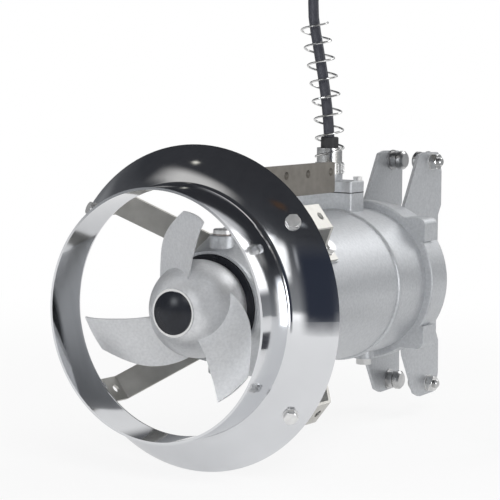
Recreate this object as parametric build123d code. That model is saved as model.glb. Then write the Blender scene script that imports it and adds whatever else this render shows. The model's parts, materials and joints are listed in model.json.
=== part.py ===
from build123d import *
import math
import os

# Submersible mixer: a jet ring on four straps, a three-blade propeller and a sealed motor.
# Lengths are in millimetres. The model is drawn with the shaft along Y, the ring's front
# rim at Y = 0 and the shaft axis at Z = 0. It is moved to stand on the floor when saved.

# Fasteners: thread radius, width across flats and head height
m6 = (3.0, 10.0, 4.2)
m8 = (4.0, 13.0, 5.3)
m10 = (5.0, 17.0, 8.0)
drain_thread = (5.0, 17.0, 7.0)
m8_length = 16.0
m8_nut_height = 6.5
lug_bolt_grip = 12.0
m6_grip = 11.0

# A shoulder or step where a bearing, ring or gasket stops
shoulder = 2.0

# Washers: outer radius, hole radius and thickness
m8_washer = (8.0, 4.5, 1.6)
m10_washer = (10.0, 5.25, 1.8)
m6_clearance = 0.2
hole_depth_spare = 0.6

# Jet ring
ring_radius = 127.5
ring_sheet = 2.5
ring_crease_y = 48.0
flare_rise = 39.3
flare_depth = 29.8
flare_bow = 2.75
crease_round = 6.0
ring_bolt_share = 0.62

# Straps
strap_angle = 38.3
strap_width = 28.0
strap_sheet = 3.0
strap_run_inset = 8.3
strap_front_reach = 10.0
strap_hole_gap = 11.0
strap_hole_radius = 4.4
strap_foot_length = 37.0
strap_foot_gap = 4.0
strap_seat_height = 2.5
strap_bend = 3.0
strap_set = 0.4
foot_bolt_inset = 9.5

# Housing: one diameter from the oil housing to the connection housing
housing_radius = 82.5
housing_wall = 7.0
spigot_length = 7.0
spigot_wall = 3.0

# Oil housing
oil_front_y = 106.0
oil_lip = 4.5
oil_lip_radius = 57.0
dome_length = 76.0
oil_tube_length = 50.0
front_wall = 12.0
chamber_length = 50.0
partition = 16.0
seat_ring_wall = 13.0
seat_ring_length = 34.0
bearing_ring_wall = 9.0
bearing_ring_step = 6.0
seal_bore = 22.0
oil_plug_inset = 19.0
oil_boss_radius = 14.3
oil_boss_set = 10.5
oil_plug = (8.0, 10.5, 5.1)
oil_plug_reach = 14.0
oil_plug_room = 0.3
plug_gasket = 1.2

# Propeller
blade_count = 3
propeller_radius = 102.5
hub_radius = 50.2
hub_rear = 20.0
hub_back_gap = 6.5
cap_radius = 24.6
cap_ring_width = 2.6
cap_ring_height = 1.8
cap_ring_floor = 0.9
cap_edge = 3.0
cap_dome = 4.0
cap_plug_radius = 18.0
cap_plug_depth = 6.0
deflector_radius = 53.6
deflector_thickness = 4.0
deflector_gap = 0.6
# Each blade section: its radius as a share of the propeller's radius, then the angle of its
# trailing edge and the Y of that edge, and the same for its leading edge. Each Y is measured
# from the middle of the hub, again as a share of the propeller's radius.
blade_sections = [
    (0.293, -47.0, -0.337, 45.0, -0.068),
    (0.435, -48.6, -0.359, 32.5, -0.088),
    (0.622, -50.0, -0.415, 5.3, -0.127),
    (0.746, -51.2, -0.452, -8.0, -0.197),
    (0.871, -52.3, -0.490, -22.0, -0.282),
    (0.995, -54.0, -0.527, -33.8, -0.365),
    (1.093, -55.6, -0.557, -41.5, -0.454),
]
blade_thickness = 4.6
blade_edge = 1.6
blade_camber = 0.045

# Motor
motor_length = 118.5
stator_bore = 45.5
core_length = 88.0
core_start = 8.0
air_gap = 0.5
end_ring_length = 8.0
end_ring_width = 15.0
end_ring_inset = 2.0
winding_reach = 17.0
winding_inset = 2.5
winding_wall_gap = 5.5
winding_round = 5.0

# Connection housing
rib_width = 6.0
rib_height = 2.4
rib_round = 1.6
connection_length = 65.5
flange_step = 8.4
flange_thickness = 16.0
flange_round = 2.0
lug_side_inset = 2.5
lug_top_inset = 8.5
lug_bolt_side = 13.0
lug_bolt_top = 14.0
lug_corner = 8.0
lug_span_x = 52.0
lug_span_z = 48.0
bracket_thickness = 6.5
bracket_ring = 6.0

# Rear cover and guide plates
cover_step = 5.0
cover_length = 30.0
cover_lug = 13.0
cover_round = 5.0
cover_skin = 9.0
cover_spigot = 7.0
cover_spigot_wall = 5.0
lug_counterbore = 9.5
guide_bar = 48.8
plate_thickness = 4.0
plate_reach = 92.3
plate_root = 4.0
plate_corner = 4.5
guide_pin_back = 26.3
guide_pin_z = 131.6
guide_pin_radius = 10.0
guide_pin_collar = 2.0
guide_pin_barrel = 7.0
guide_pin_groove = 2.0
guide_pin_head = 7.0
guide_pin_chamfer = 2.5
stud_reach = 14.0

# Lifting plate
lift_thickness = 6.0
lift_front_y = 181.0
lift_length = 165.0
lift_gap = 21.5
lift_height = 34.0
lift_corner = 2.5
lift_hole_radius = 4.5
lift_hole_drop = 11.0
lift_holes = [17.0, 62.0, 107.0, 156.0]
lift_foot_y = 250.0
lift_foot_length = 32.0
lift_foot_width = 44.0
lift_foot_sheet = 5.0
lift_leg_length = 26.0
lift_bolt_spread = 18.0
lift_bolt_x = 14.0
pad_height = 3.5
pad_edge = 2.0
pad_hole_depth = 7.8

# Drain and terminals
drain_x = 18.0
drain_gap = 25.0
drain_boss_radius = 11.5
drain_boss_height = 3.5
drain_depth = 10.0
terminal_width = 48.0
terminal_depth = 24.0
terminal_rise = 9.5
terminal_block_size = (44.0, 20.0, 16.0)
terminal_hole_radius = 2.5
terminal_hole_depth = 4.0
terminal_pitch = 10.0

# Cable entry
entry_low_x = -56.0
entry_high_x = 15.3
entry_gap_y = 4.5
entry_depth = 31.0
entry_height = 19.5
entry_corner = 3.0
entry_gasket = 1.2
entry_plate = 12.2
entry_edge = 0.8
entry_bolt_inset = 5.9
entry_bolt_grip = 10.6
entry_bore = 13.0
cable_x = -21.0
cable_inset = 13.5
neck_radius = 15.0
neck_height = 7.1
neck_bore = 11.0
nut_radius = 16.0
nut_height = 12.7
nut_rib_radius = 1.0
nut_rib_count = 16
collar_radius = 14.3
collar_height = 16.6
sleeve_radius = 10.0
sleeve_height = 12.1
sleeve_grip = 5.7
sleeve_edge = 1.0
cable_radius = 6.0
cable_clearance = 0.3
cable_inner = 38.0
cable_low_gap = 1.2
cable_straight = 34.0
core_radius = 1.2
core_bend = 12.0
core_offset = 3.0
core_drop = 76.0

# Spring guard
spring_wire = 1.25
spring_pitch = 20.6
spring_turns = 7.5
spring_first_angle = -150.0
spring_clearance = 0.03
spring_foot = 6.3

# Cable coil
coil_y = 487.0
coil_turn_radius = 90.0
coil_width = 48.0
coil_height = 48.0
coil_corner = 5.0
cable_end_length = 60.0
end_cap_start = 45.0
end_cap_length = 30.0
end_cap_wall = 1.0

# Shaft, bearings and seals
nose_radius = 12.0
nose_inset = 41.5
shaft_radius = 14.0
front_seat_radius = 17.5
front_bearing_radius = 36.0
front_bearing_width = 17.0
core_seat_radius = 20.0
rear_seat_radius = 12.5
rear_bearing_radius = 26.0
rear_bearing_width = 15.0
rear_bearing_gap = 2.0
ball_count = 8
ball_share = 0.3
ball_clearance = 0.05
cage_half_wall = 1.2
cage_edge = 1.5
key_width = 8.0
key_start = 6.0
key_length = 28.0
key_rise = 3.3
key_sink = 4.0
screw_radius = 5.0
screw_length = 36.0
screw_head = (8.0, 8.0, 8.0)
screw_socket_depth = 4.0
screw_washer = 4.0
screw_clearance = 0.3
washer_inset = 1.0
seat_clearance = 1.5
seal_ring_inset = 3.0
seal_ring_length = 16.0
seat_length = 8.0
seal_face_gap = 0.05
seal_slack = 0.15
square_seal = 2.5
square_seal_depth = 2.0

# Radii and stations along the shaft that follow from the sizes above
flare_radius = ring_radius + flare_rise
flare_y = ring_crease_y + flare_depth
axis_height = flare_radius
dome_back_y = oil_front_y + dome_length
oil_back_y = dome_back_y + oil_tube_length
chamber_y = oil_front_y + front_wall
partition_y = chamber_y + chamber_length
front_bearing_y = partition_y + partition
bearing_back_y = front_bearing_y + front_bearing_width
oil_plug_y = oil_front_y + oil_plug_inset
oil_boss_height = housing_radius - oil_boss_set
hub_back_y = oil_front_y - hub_back_gap
hub_centre_y = hub_back_y - hub_rear
motor_back_y = oil_back_y + motor_length
rib_back_y = motor_back_y + rib_width
flange_front_y = motor_back_y + connection_length
flange_back_y = flange_front_y + flange_thickness
cover_back_y = flange_back_y + cover_length
plate_back_y = cover_back_y + plate_reach
half_length = plate_back_y / 2
housing_bore = housing_radius - housing_wall
spigot_radius = housing_bore + spigot_wall
flange_radius = housing_radius + flange_step
cover_radius = housing_radius + cover_step
lug_half_width = housing_radius - lug_side_inset
lug_half_height = housing_radius - lug_top_inset
lug_bolt_x = lug_half_width - lug_bolt_side
lug_bolt_z = lug_half_height - lug_bolt_top
core_y = oil_back_y + core_start
core_back_y = core_y + core_length
rear_bearing_y = motor_back_y + rear_bearing_gap
plate_inner_x = guide_bar / 2
plate_x = plate_inner_x + plate_thickness
pin_y = plate_back_y - guide_pin_back
hub_front_y = hub_centre_y - math.sqrt(hub_radius**2 - cap_radius**2)
strap_run_radius = flare_radius - strap_run_inset
seat_radius = housing_radius + strap_seat_height
rear_foot_r = seat_radius + strap_sheet / 2
rear_fold_y = oil_back_y - strap_foot_gap - strap_foot_length
strap_fold_y = rear_fold_y - (strap_run_radius - rear_foot_r)
strap_hole_y = strap_fold_y - strap_hole_gap
strap_angles = [strap_angle, 180 - strap_angle, 180 + strap_angle, 360 - strap_angle]
pad_top = housing_radius + pad_height
lift_back_y = lift_front_y + lift_length
lift_low_z = housing_radius + lift_gap
lift_top_z = lift_low_z + lift_height
lift_hole_z = lift_top_z - lift_hole_drop
entry_y = rib_back_y + entry_gap_y
cable_y = entry_y + cable_inset
entry_block_top = housing_radius + entry_height
gasket_top = entry_block_top + entry_gasket
entry_cover_top = gasket_top + entry_plate
neck_top = entry_cover_top + neck_height
nut_top = neck_top + nut_height
collar_top = nut_top + collar_height
sleeve_top = collar_top + sleeve_height
long_cut = 4 * ring_radius
low = (Align.CENTER, Align.CENTER, Align.MIN)
high = (Align.CENTER, Align.CENTER, Align.MAX)


def turned(*points):
    """A body turned about the shaft, from its outline in radius and distance along Y."""
    return revolve(make_face(Polyline(*points, close=True)), Axis.Y)


def tube(inner, outer, start, end):
    """A round tube about the shaft."""
    return turned((inner, start), (outer, start), (outer, end), (inner, end))


def rims(shape, radius):
    """The circular edges of a shape that have the given radius."""
    circles = shape.edges().filter_by(GeomType.CIRCLE)
    return [edge for edge in circles if abs(edge.radius - radius) < 0.01]


def post(x, y, z, radius, height, side=low):
    """An upright cylinder whose foot is at z, or its top when side is high."""
    return Pos(x, y, z) * Cylinder(radius, height, align=side)


def block(x_span, y_span, z_span):
    """A box between two limits on each axis."""
    spans = (x_span, y_span, z_span)
    sizes = [abs(b - a) for a, b in spans]
    centre = [(a + b) / 2 for a, b in spans]
    return Pos(*centre) * Box(*sizes)


def hex_bar(flats, height):
    """A hexagonal bar standing on Z = 0."""
    return extrude(RegularPolygon(flats / 2, 6, major_radius=False), height)


def crowned(flats, height, share):
    """A hexagonal bar whose top corners are turned off by a share of its height."""
    crown = Cylinder(flats * 0.56, height, align=low)
    crown = chamfer(crown.edges().group_by(Axis.Z)[-1], height * share)
    return hex_bar(flats, height) & crown


def bolt(size, length):
    """A hexagon bolt with its head above Z = 0 and its shank below."""
    radius, flats, head = size
    return crowned(flats, head, 0.14) + Cylinder(radius, length, align=high)


def washer(size):
    """A flat washer standing on Z = 0."""
    outer, hole, thickness = size
    return Cylinder(outer, thickness, align=low) - Cylinder(hole, thickness, align=low)


def nut(size, height):
    """A hexagon nut standing on Z = 0."""
    radius, flats, head = size
    return crowned(flats, height, 0.12) - Cylinder(radius, height, align=low)


def round_shaft(shape, angles):
    """Copies of a shape drawn on the +X side, turned about the shaft towards +Z."""
    return [Rot(0, -angle, 0) * shape for angle in angles]


def facing(radius, y, tilt):
    """The place on the +X side whose Z axis leans the given angle forward from radial."""
    lean = math.radians(tilt)
    return Plane((radius, y, 0), x_dir=(0, 0, 1), z_dir=(math.cos(lean), -math.sin(lean), 0)).location


def save(name, shape):
    """Write one piece, moved so that the ring stands on Z = 0 and Y is centred."""
    if isinstance(shape, list):
        shape = Compound(children=shape)
    shape = Pos(0, -half_length, axis_height) * shape
    shape.label = name
    export_step(shape, os.path.join("parts", name + ".step"))


os.makedirs("parts", exist_ok=True)

# Jet ring: one sheet with a cylinder in front and a bowed flare behind
flare_chord = math.hypot(flare_rise, flare_depth)
flare_middle = (
    ring_radius + flare_rise / 2 + flare_bow * flare_depth / flare_chord,
    ring_crease_y + flare_depth / 2 - flare_bow * flare_rise / flare_chord)
flare_arc = ThreePointArc((ring_radius, ring_crease_y), flare_middle, (flare_radius, flare_y))
front_line = Line((ring_radius, 0), (ring_radius, ring_crease_y))
outer_line = Wire(fillet((front_line + flare_arc).vertices(), crease_round).edges())
inner_line = outer_line.offset_2d(ring_sheet, side=Side.RIGHT, closed=False)
if inner_line.bounding_box().min.X > ring_radius:
    inner_line = outer_line.offset_2d(ring_sheet, side=Side.LEFT, closed=False)
inner_start, inner_end = sorted([inner_line @ 0, inner_line @ 1], key=lambda point: point.Y)
ring_ends = [Line((ring_radius, 0), inner_start), Line((flare_radius, flare_y), inner_end)]
jet_ring = revolve(make_face(outer_line.edges() + inner_line.edges() + ring_ends), Axis.Y)

# The flare's arc gives the point and the lean of each ring bolt
bolt_point = flare_arc @ ring_bolt_share
bolt_way = flare_arc % ring_bolt_share
ring_bolt_r = bolt_point.X
ring_bolt_y = bolt_point.Y
ring_bolt_tilt = math.degrees(math.atan2(bolt_way.X, bolt_way.Y))
bolt_place = facing(ring_bolt_r, ring_bolt_y, ring_bolt_tilt)

ring_hole = bolt_place * Cylinder(m8_washer[1], 6 * (ring_sheet + strap_sheet))
for cutter in round_shaft(ring_hole, strap_angles):
    jet_ring -= cutter

# Straps: each lies inside the flare, runs back past its lip and folds in to the housing
lean = math.radians(ring_bolt_tilt)
across = (math.cos(lean), -math.sin(lean))
along = (math.sin(lean), math.cos(lean))
strap_depth = ring_sheet + strap_sheet / 2 - strap_set
foot_r = ring_bolt_r - strap_depth * across[0]
foot_y = ring_bolt_y - strap_depth * across[1]
reach = (strap_run_radius - foot_r) / along[0]
strap_line = FilletPolyline(
    (foot_r - strap_front_reach * along[0], foot_y - strap_front_reach * along[1]),
    (foot_r + reach * along[0], foot_y + reach * along[1]),
    (strap_run_radius, strap_fold_y),
    (rear_foot_r, rear_fold_y),
    (rear_foot_r, rear_fold_y + strap_foot_length),
    radius=strap_bend)
strap_face = make_face(trace(strap_line, strap_sheet).wires())
strap = extrude(strap_face, strap_width / 2, both=True)
outside = Polyline(inner_end, (2 * flare_radius, inner_end.Y), (2 * flare_radius, 0), inner_start)
strap -= revolve(make_face(inner_line.edges() + outside.edges()), Axis.Y)
strap -= ring_hole
strap_feet_y = [rear_fold_y + foot_bolt_inset, rear_fold_y + strap_foot_length - foot_bolt_inset]
for y in strap_feet_y:
    strap -= facing(seat_radius, y, 0) * Cylinder(m8_washer[1], 6 * strap_sheet)
strap -= facing(strap_run_radius, strap_hole_y, 0) * Cylinder(strap_hole_radius, 6 * strap_sheet)

ring_washer = bolt_place * washer(m8_washer)
ring_bolt = bolt_place * Pos(0, 0, m8_washer[2]) * bolt(m8, m8_length)
ring_nut = bolt_place * Pos(0, 0, -strap_depth - strap_sheet / 2) * Rot(180, 0, 0) * nut(m8, m8_nut_height)
foot_top = seat_radius + strap_sheet
foot_washers = [facing(foot_top, y, 0) * washer(m8_washer) for y in strap_feet_y]
foot_bolts = [facing(foot_top + m8_washer[2], y, 0) * bolt(m8, m8_length) for y in strap_feet_y]
foot_bolt_depth = m8_length - strap_sheet - m8_washer[2]


def blade_section(share, trail_angle, trail_share, lead_angle, lead_share):
    """One flat blade section, square to the radius through the middle of its chord."""
    radius = share * propeller_radius
    trail_y = hub_centre_y + trail_share * propeller_radius
    lead_y = hub_centre_y + lead_share * propeller_radius
    middle = math.radians((trail_angle + lead_angle) / 2)
    half = math.radians((lead_angle - trail_angle) / 2)
    outward = (math.cos(middle), 0, math.sin(middle))
    turning = (-math.sin(middle), 0, math.cos(middle))
    origin = [c * radius * math.cos(half) for c in outward]
    trail = Vector(-radius * math.sin(half), trail_y)
    lead = Vector(radius * math.sin(half), lead_y)
    chord = lead - trail
    normal = Vector(-chord.Y, chord.X).normalized()
    bow = normal * chord.length * blade_camber

    def at(fraction, side):
        hump = 4 * fraction * (1 - fraction)
        depth = blade_edge / 2 + (blade_thickness - blade_edge) / 2 * hump
        return trail + chord * fraction + bow * hump + normal * depth * side

    upper = Spline(*[at(f, 1) for f in (0, 0.3, 0.65, 1)])
    lower = Spline(*[at(f, -1) for f in (0, 0.3, 0.65, 1)])
    ends = [Line(at(f, 1), at(f, -1)) for f in (0, 1)]
    plane = Plane(origin, x_dir=turning, z_dir=Vector(*turning).cross(Vector(0, 1, 0)))
    return plane * make_face([upper, ends[1], lower, ends[0]])


# Propeller: three cambered blades lofted through flat sections, on a round hub
blade = loft([blade_section(*row) for row in blade_sections])
blade &= tube(0, propeller_radius, hub_centre_y - propeller_radius, oil_front_y)
hub_back_radius = math.sqrt(hub_radius**2 - (hub_back_y - hub_centre_y) ** 2)
hub = revolve(make_face([
    ThreePointArc((cap_radius, hub_front_y), (hub_radius, hub_centre_y), (hub_back_radius, hub_back_y)),
    Polyline((hub_back_radius, hub_back_y), (0, hub_back_y), (0, hub_front_y), (cap_radius, hub_front_y)),
]), Axis.Y)
propeller = hub
for turn in range(blade_count):
    propeller += Rot(0, -turn * 360 / blade_count, 0) * blade
nose_y = hub_back_y - nose_inset
hub_step_y = nose_y - shoulder
propeller -= tube(0, nose_radius, hub_front_y, hub_back_y)
propeller -= tube(0, cap_plug_radius, hub_front_y, hub_step_y)
key_span_x = (-key_width / 2, key_width / 2)
key_span_y = (nose_y + key_start, nose_y + key_start + key_length)
key = block(key_span_x, key_span_y, (nose_radius - key_sink, nose_radius + key_rise))
propeller -= block(key_span_x, (hub_step_y, hub_back_y), (0, nose_radius + key_rise))

cap_face_radius = cap_radius - cap_ring_width
cap_back_y = hub_front_y - cap_ring_floor
cap_edge_y = hub_front_y - cap_edge
cap_tip_y = cap_edge_y - cap_dome
cap_ring = tube(cap_plug_radius, cap_radius, hub_front_y - cap_ring_height, hub_front_y)
cap_ring -= tube(0, cap_face_radius, hub_front_y - cap_ring_height, cap_back_y)
dome_radius = (cap_face_radius**2 + cap_dome**2) / (2 * cap_dome)
half_sweep = math.asin(cap_face_radius / dome_radius) / 2
dome_middle = (dome_radius * math.sin(half_sweep), cap_tip_y + dome_radius * (1 - math.cos(half_sweep)))
hub_cap = revolve(make_face([
    ThreePointArc((cap_face_radius, cap_edge_y), dome_middle, (0, cap_tip_y)),
    Polyline(
        (0, cap_tip_y), (0, hub_front_y + cap_plug_depth), (cap_plug_radius, hub_front_y + cap_plug_depth),
        (cap_plug_radius, cap_back_y), (cap_face_radius, cap_back_y), (cap_face_radius, cap_edge_y)),
]), Axis.Y)
screw_seat_y = hub_step_y - screw_washer
propeller_washer = tube(
    screw_radius + screw_clearance, cap_plug_radius - washer_inset, screw_seat_y, hub_step_y)
screw_place = Plane((0, screw_seat_y, 0), z_dir=(0, -1, 0)).location
propeller_screw = screw_place * (
    Cylinder(screw_head[0], screw_head[1], align=low)
    - Pos(0, 0, screw_head[1] - screw_socket_depth) * hex_bar(screw_head[2], screw_socket_depth)
    + Cylinder(screw_radius, screw_length, align=high))
deflector_back_y = hub_back_y + deflector_thickness
deflector_ring = tube(nose_radius, deflector_radius, hub_back_y, deflector_back_y)

# Oil housing: the domed front of the motor, with the seals and the front bearing in it
lip_front_y = oil_front_y - oil_lip
dome_line = Spline(
    (oil_lip_radius, oil_front_y), (housing_radius - 18.5, oil_front_y + 0.28 * dome_length),
    (housing_radius - 8.5, oil_front_y + 0.63 * dome_length), (housing_radius, dome_back_y))
bearing_ring_y = front_bearing_y + bearing_ring_step
seat_ring_end = bearing_ring_y + seat_ring_length
lip_bore = deflector_radius + deflector_gap
seat_ring_radius = seat_radius - seat_ring_wall
bearing_ring_radius = front_bearing_radius + bearing_ring_wall
chamber_front_radius = housing_radius - 32.5
chamber_back_radius = housing_radius - 16.5
oil_outline = Polyline(
    (housing_radius, dome_back_y), (housing_radius, oil_back_y), (spigot_radius, oil_back_y),
    (spigot_radius, oil_back_y + spigot_length), (housing_bore, oil_back_y + spigot_length),
    (housing_bore, seat_ring_end), (seat_ring_radius, seat_ring_end),
    (seat_ring_radius, bearing_ring_y), (bearing_ring_radius, bearing_ring_y),
    (bearing_ring_radius, bearing_back_y), (front_bearing_radius, bearing_back_y),
    (front_bearing_radius, front_bearing_y), (seal_bore - shoulder, front_bearing_y),
    (seal_bore - shoulder, partition_y), (chamber_back_radius, partition_y),
    (chamber_front_radius, chamber_y), (seal_bore, chamber_y), (seal_bore, oil_front_y),
    (lip_bore, oil_front_y), (lip_bore, lip_front_y), (oil_lip_radius, lip_front_y),
    (oil_lip_radius, oil_front_y))
oil_housing = revolve(make_face(dome_line.edges() + oil_outline.edges()), Axis.Y)
oil_void = turned(
    (0, chamber_y), (chamber_front_radius, chamber_y), (chamber_back_radius, partition_y), (0, partition_y))
oil_boss = post(0, oil_plug_y, oil_boss_height / 2, oil_boss_radius, oil_boss_height / 2)
oil_boss = chamfer(oil_boss.edges().group_by(Axis.Z)[-1], 1.0)
for flip in (0, 180):
    oil_housing += Rot(0, flip, 0) * (oil_boss - oil_void)
    oil_housing -= Rot(0, flip, 0) * post(0, oil_plug_y, oil_boss_height / 2, oil_plug[0], oil_boss_height)
    face_radius = oil_plug[1] + oil_plug_room
    oil_housing -= Rot(0, flip, 0) * post(0, oil_plug_y, oil_boss_height, face_radius, long_cut)
seat_half = strap_width / 2 + 1
seat_inner = housing_radius - housing_wall / 2
seat_span_y = (rear_fold_y - strap_foot_gap, oil_back_y)
seat_block = block((seat_inner / 2, seat_radius), seat_span_y, (-seat_half, seat_half))
seat_block -= tube(0, seat_inner, 0, oil_back_y)
for seat in round_shaft(seat_block, strap_angles):
    oil_housing += seat
for y in strap_feet_y:
    thread = facing(seat_radius, y, 0) * Cylinder(m8[0], foot_bolt_depth + hole_depth_spare, align=high)
    for cutter in round_shaft(thread, strap_angles):
        oil_housing -= cutter

plug_shank, plug_head, plug_height = oil_plug
plug = Cylinder(plug_shank, oil_plug_reach, align=high) + Cylinder(plug_shank, plug_gasket, align=low)
plug += Pos(0, 0, plug_gasket) * Cylinder(plug_head, plug_height, align=low)
plug = chamfer(plug.edges().group_by(Axis.Z)[-1], 1.0)
plug -= Pos(0, 0, plug_gasket + plug_height - screw_socket_depth) * hex_bar(plug_shank, screw_socket_depth)
plug_place = Pos(0, oil_plug_y, oil_boss_height)
oil_plugs = [Rot(0, flip, 0) * plug_place * plug for flip in (0, 180)]
gasket = washer((plug_head - shoulder / 8, plug_shank, plug_gasket))
plug_gaskets = [Rot(0, flip, 0) * plug_place * gasket for flip in (0, 180)]

# Shaft with its steps, and the rotor on it
shaft_front_end = front_bearing_y - shoulder
shaft_end_y = rear_bearing_y + rear_bearing_width + key_rise
rotor_end_y = core_back_y + end_ring_length
shaft = turned(
    (0, nose_y), (nose_radius, nose_y), (nose_radius, deflector_back_y), (shaft_radius, deflector_back_y),
    (shaft_radius, shaft_front_end), (front_seat_radius, shaft_front_end),
    (front_seat_radius, bearing_back_y), (core_seat_radius, bearing_back_y),
    (core_seat_radius, rotor_end_y), (rear_seat_radius + shoulder, rotor_end_y),
    (rear_seat_radius + shoulder, rear_bearing_y), (rear_seat_radius, rear_bearing_y),
    (rear_seat_radius, shaft_end_y), (0, shaft_end_y))
shaft -= key
shaft -= tube(0, screw_radius, nose_y, screw_seat_y + screw_length)
rotor_core = tube(core_seat_radius, stator_bore - air_gap, core_y, core_back_y)
end_ring_outer = stator_bore - end_ring_inset
end_ring_inner = end_ring_outer - end_ring_width
rotor_rings = [
    tube(end_ring_inner, end_ring_outer, core_y - end_ring_length, core_y),
    tube(end_ring_inner, end_ring_outer, core_back_y, rotor_end_y),
]
stator_core = tube(stator_bore, housing_bore, core_y, core_back_y)


def winding(start, end):
    """One rounded end of the windings."""
    low_r = stator_bore + winding_inset
    high_r = housing_bore - winding_wall_gap
    corner = winding_round
    return turned((low_r, start), (high_r, start), (high_r, end - corner), (high_r - corner, end),
                  (low_r + corner, end), (low_r, end - corner))


middle_y = (core_y + core_back_y) / 2
rear_winding = winding(core_back_y, core_back_y + winding_reach)
stator_windings = [rear_winding, Pos(0, 2 * middle_y, 0) * mirror(rear_winding, Plane.XZ)]


def bearing(bore, outer, width, start):
    """Inner ring, outer ring, balls and cage of a deep-groove ball bearing."""
    wall = (outer - bore) * ball_share
    pitch = (bore + outer) / 2
    centre_y = start + width / 2
    ball_radius = (outer - bore) * ball_share
    groove = Pos(0, centre_y, 0) * Rot(90, 0, 0) * Torus(pitch, ball_radius + ball_clearance)
    inner_ring = tube(bore, bore + wall, start, start + width) - groove
    outer_ring = tube(outer - wall, outer, start, start + width) - groove
    places = [i * 360 / ball_count for i in range(ball_count)]
    ball = Pos(pitch, centre_y, 0) * Sphere(ball_radius)
    cage_reach = ball_radius + cage_edge
    cage_wall = (pitch - cage_half_wall, pitch + cage_half_wall)
    cage = tube(*cage_wall, centre_y - cage_reach, centre_y + cage_reach)
    pocket_place = Pos(pitch, centre_y, 0) * Rot(0, 90, 0)
    pocket = pocket_place * Cylinder(ball_radius + ball_clearance, 10 * cage_half_wall)
    for cutter in round_shaft(pocket, places):
        cage -= cutter
    return inner_ring, outer_ring, round_shaft(ball, places), cage


front_inner, front_outer, front_balls, front_cage = bearing(
    front_seat_radius, front_bearing_radius, front_bearing_width, front_bearing_y)
rear_inner, rear_outer, rear_balls, rear_cage = bearing(
    rear_seat_radius, rear_bearing_radius, rear_bearing_width, rear_bearing_y)

# Shaft seals: a fixed seat and a turning ring for each, with a running gap between the faces
seat_bore = shaft_radius + seat_clearance
front_face_y = chamber_y - shoulder
rear_face_y = partition_y + shoulder / 2
front_seal_seat = tube(seat_bore, seal_bore, front_face_y - seat_length, front_face_y)
rear_seal_seat = tube(seat_bore, seal_bore - shoulder, rear_face_y, rear_face_y + seat_length)
ring_outer = seal_bore - seal_ring_inset
front_seal_ring = tube(
    shaft_radius, ring_outer, front_face_y + seal_face_gap, front_face_y + seal_ring_length)
rear_seal_ring = tube(
    shaft_radius, ring_outer, rear_face_y - seal_ring_length, rear_face_y - seal_face_gap)

# Motor housing: the plain tube round the stator, with a pad for the lifting plate on top
motor_housing = tube(housing_bore, housing_radius, oil_back_y, motor_back_y)
motor_housing -= tube(0, spigot_radius, oil_back_y, oil_back_y + spigot_length)
foot_span = (lift_foot_y - lift_foot_length / 2, lift_foot_y + lift_foot_length / 2)
foot_half = lift_foot_width / 2
pad = block((-foot_half - pad_edge, foot_half + pad_edge), foot_span, (housing_bore - pad_edge, pad_top))
pad = fillet(pad.edges().filter_by(Axis.Z), pad_edge)
motor_housing += pad - tube(0, housing_radius - 1, oil_back_y, motor_back_y)

# Lifting plate, with one leg and a foot in front that is screwed to the pad
lift_span_x = (-lift_thickness / 2, lift_thickness / 2)
lift_plate = block(lift_span_x, (lift_front_y, lift_back_y), (lift_low_z, lift_top_z))
lift_plate = fillet(lift_plate.edges().filter_by(Axis.X), lift_corner)
for y in lift_holes:
    hole_place = Pos(0, lift_front_y + y, lift_hole_z) * Rot(0, 90, 0)
    lift_plate -= hole_place * Cylinder(lift_hole_radius, 2 * lift_thickness)
leg_span = (lift_foot_y - lift_leg_length / 2, lift_foot_y + lift_leg_length / 2)
lift_plate += block(lift_span_x, leg_span, (pad_top, lift_low_z + lift_thickness / 2))
lift_plate += block((-foot_half, foot_half), foot_span, (pad_top, pad_top + lift_foot_sheet))
lift_bolts = []
lift_bolt_length = lift_foot_sheet + pad_hole_depth - hole_depth_spare
for x in (-lift_bolt_x, lift_bolt_x):
    for y in (lift_foot_y - lift_bolt_spread / 2, lift_foot_y + lift_bolt_spread / 2):
        lift_plate -= post(x, y, pad_top, m6[0] + m6_clearance, lift_foot_sheet)
        motor_housing -= post(x, y, pad_top - pad_hole_depth, m6[0], pad_hole_depth)
        lift_bolts.append(Pos(x, y, pad_top + lift_foot_sheet) * bolt(m6, lift_bolt_length))

# Bearing bracket inside the rear of the motor
bracket_back_y = motor_back_y + bracket_thickness
bracket_ring_radius = rear_bearing_radius + bracket_ring
bearing_end_y = rear_bearing_y + rear_bearing_width
bracket = turned(
    (rear_bearing_radius, rear_bearing_y), (rear_bearing_radius, bearing_end_y),
    (bracket_ring_radius, bearing_end_y), (bracket_ring_radius, bracket_back_y),
    (spigot_radius, bracket_back_y), (spigot_radius, motor_back_y),
    (rear_seat_radius + 2 * shoulder, motor_back_y), (rear_seat_radius + 2 * shoulder, rear_bearing_y))

# Connection housing: rib, tube, rear flange with four lugs, and the block of the cable entry
connection_housing = turned(
    (housing_radius, motor_back_y), (housing_radius, flange_front_y), (flange_radius, flange_front_y),
    (flange_radius, flange_back_y), (housing_bore, flange_back_y), (housing_bore, bracket_back_y),
    (spigot_radius, bracket_back_y), (spigot_radius, motor_back_y))
connection_housing = fillet(rims(connection_housing, flange_radius), flange_round)
rib = tube(housing_radius - 1, housing_radius + rib_height, motor_back_y, rib_back_y)
connection_housing += fillet(rims(rib, housing_radius + rib_height), rib_round)


def lug_ring(start, thickness):
    """The four rounded corners of a rectangular slab, without its middle."""
    outline = Plane.XZ * RectangleRounded(2 * lug_half_width, 2 * lug_half_height, lug_corner)
    slab = Pos(0, start, 0) * extrude(outline, -thickness)
    span_y = (start, start + thickness)
    slab -= block((-long_cut, long_cut), span_y, (-lug_span_z, lug_span_z))
    return slab - block((-lug_span_x, lug_span_x), span_y, (-long_cut, long_cut))


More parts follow.
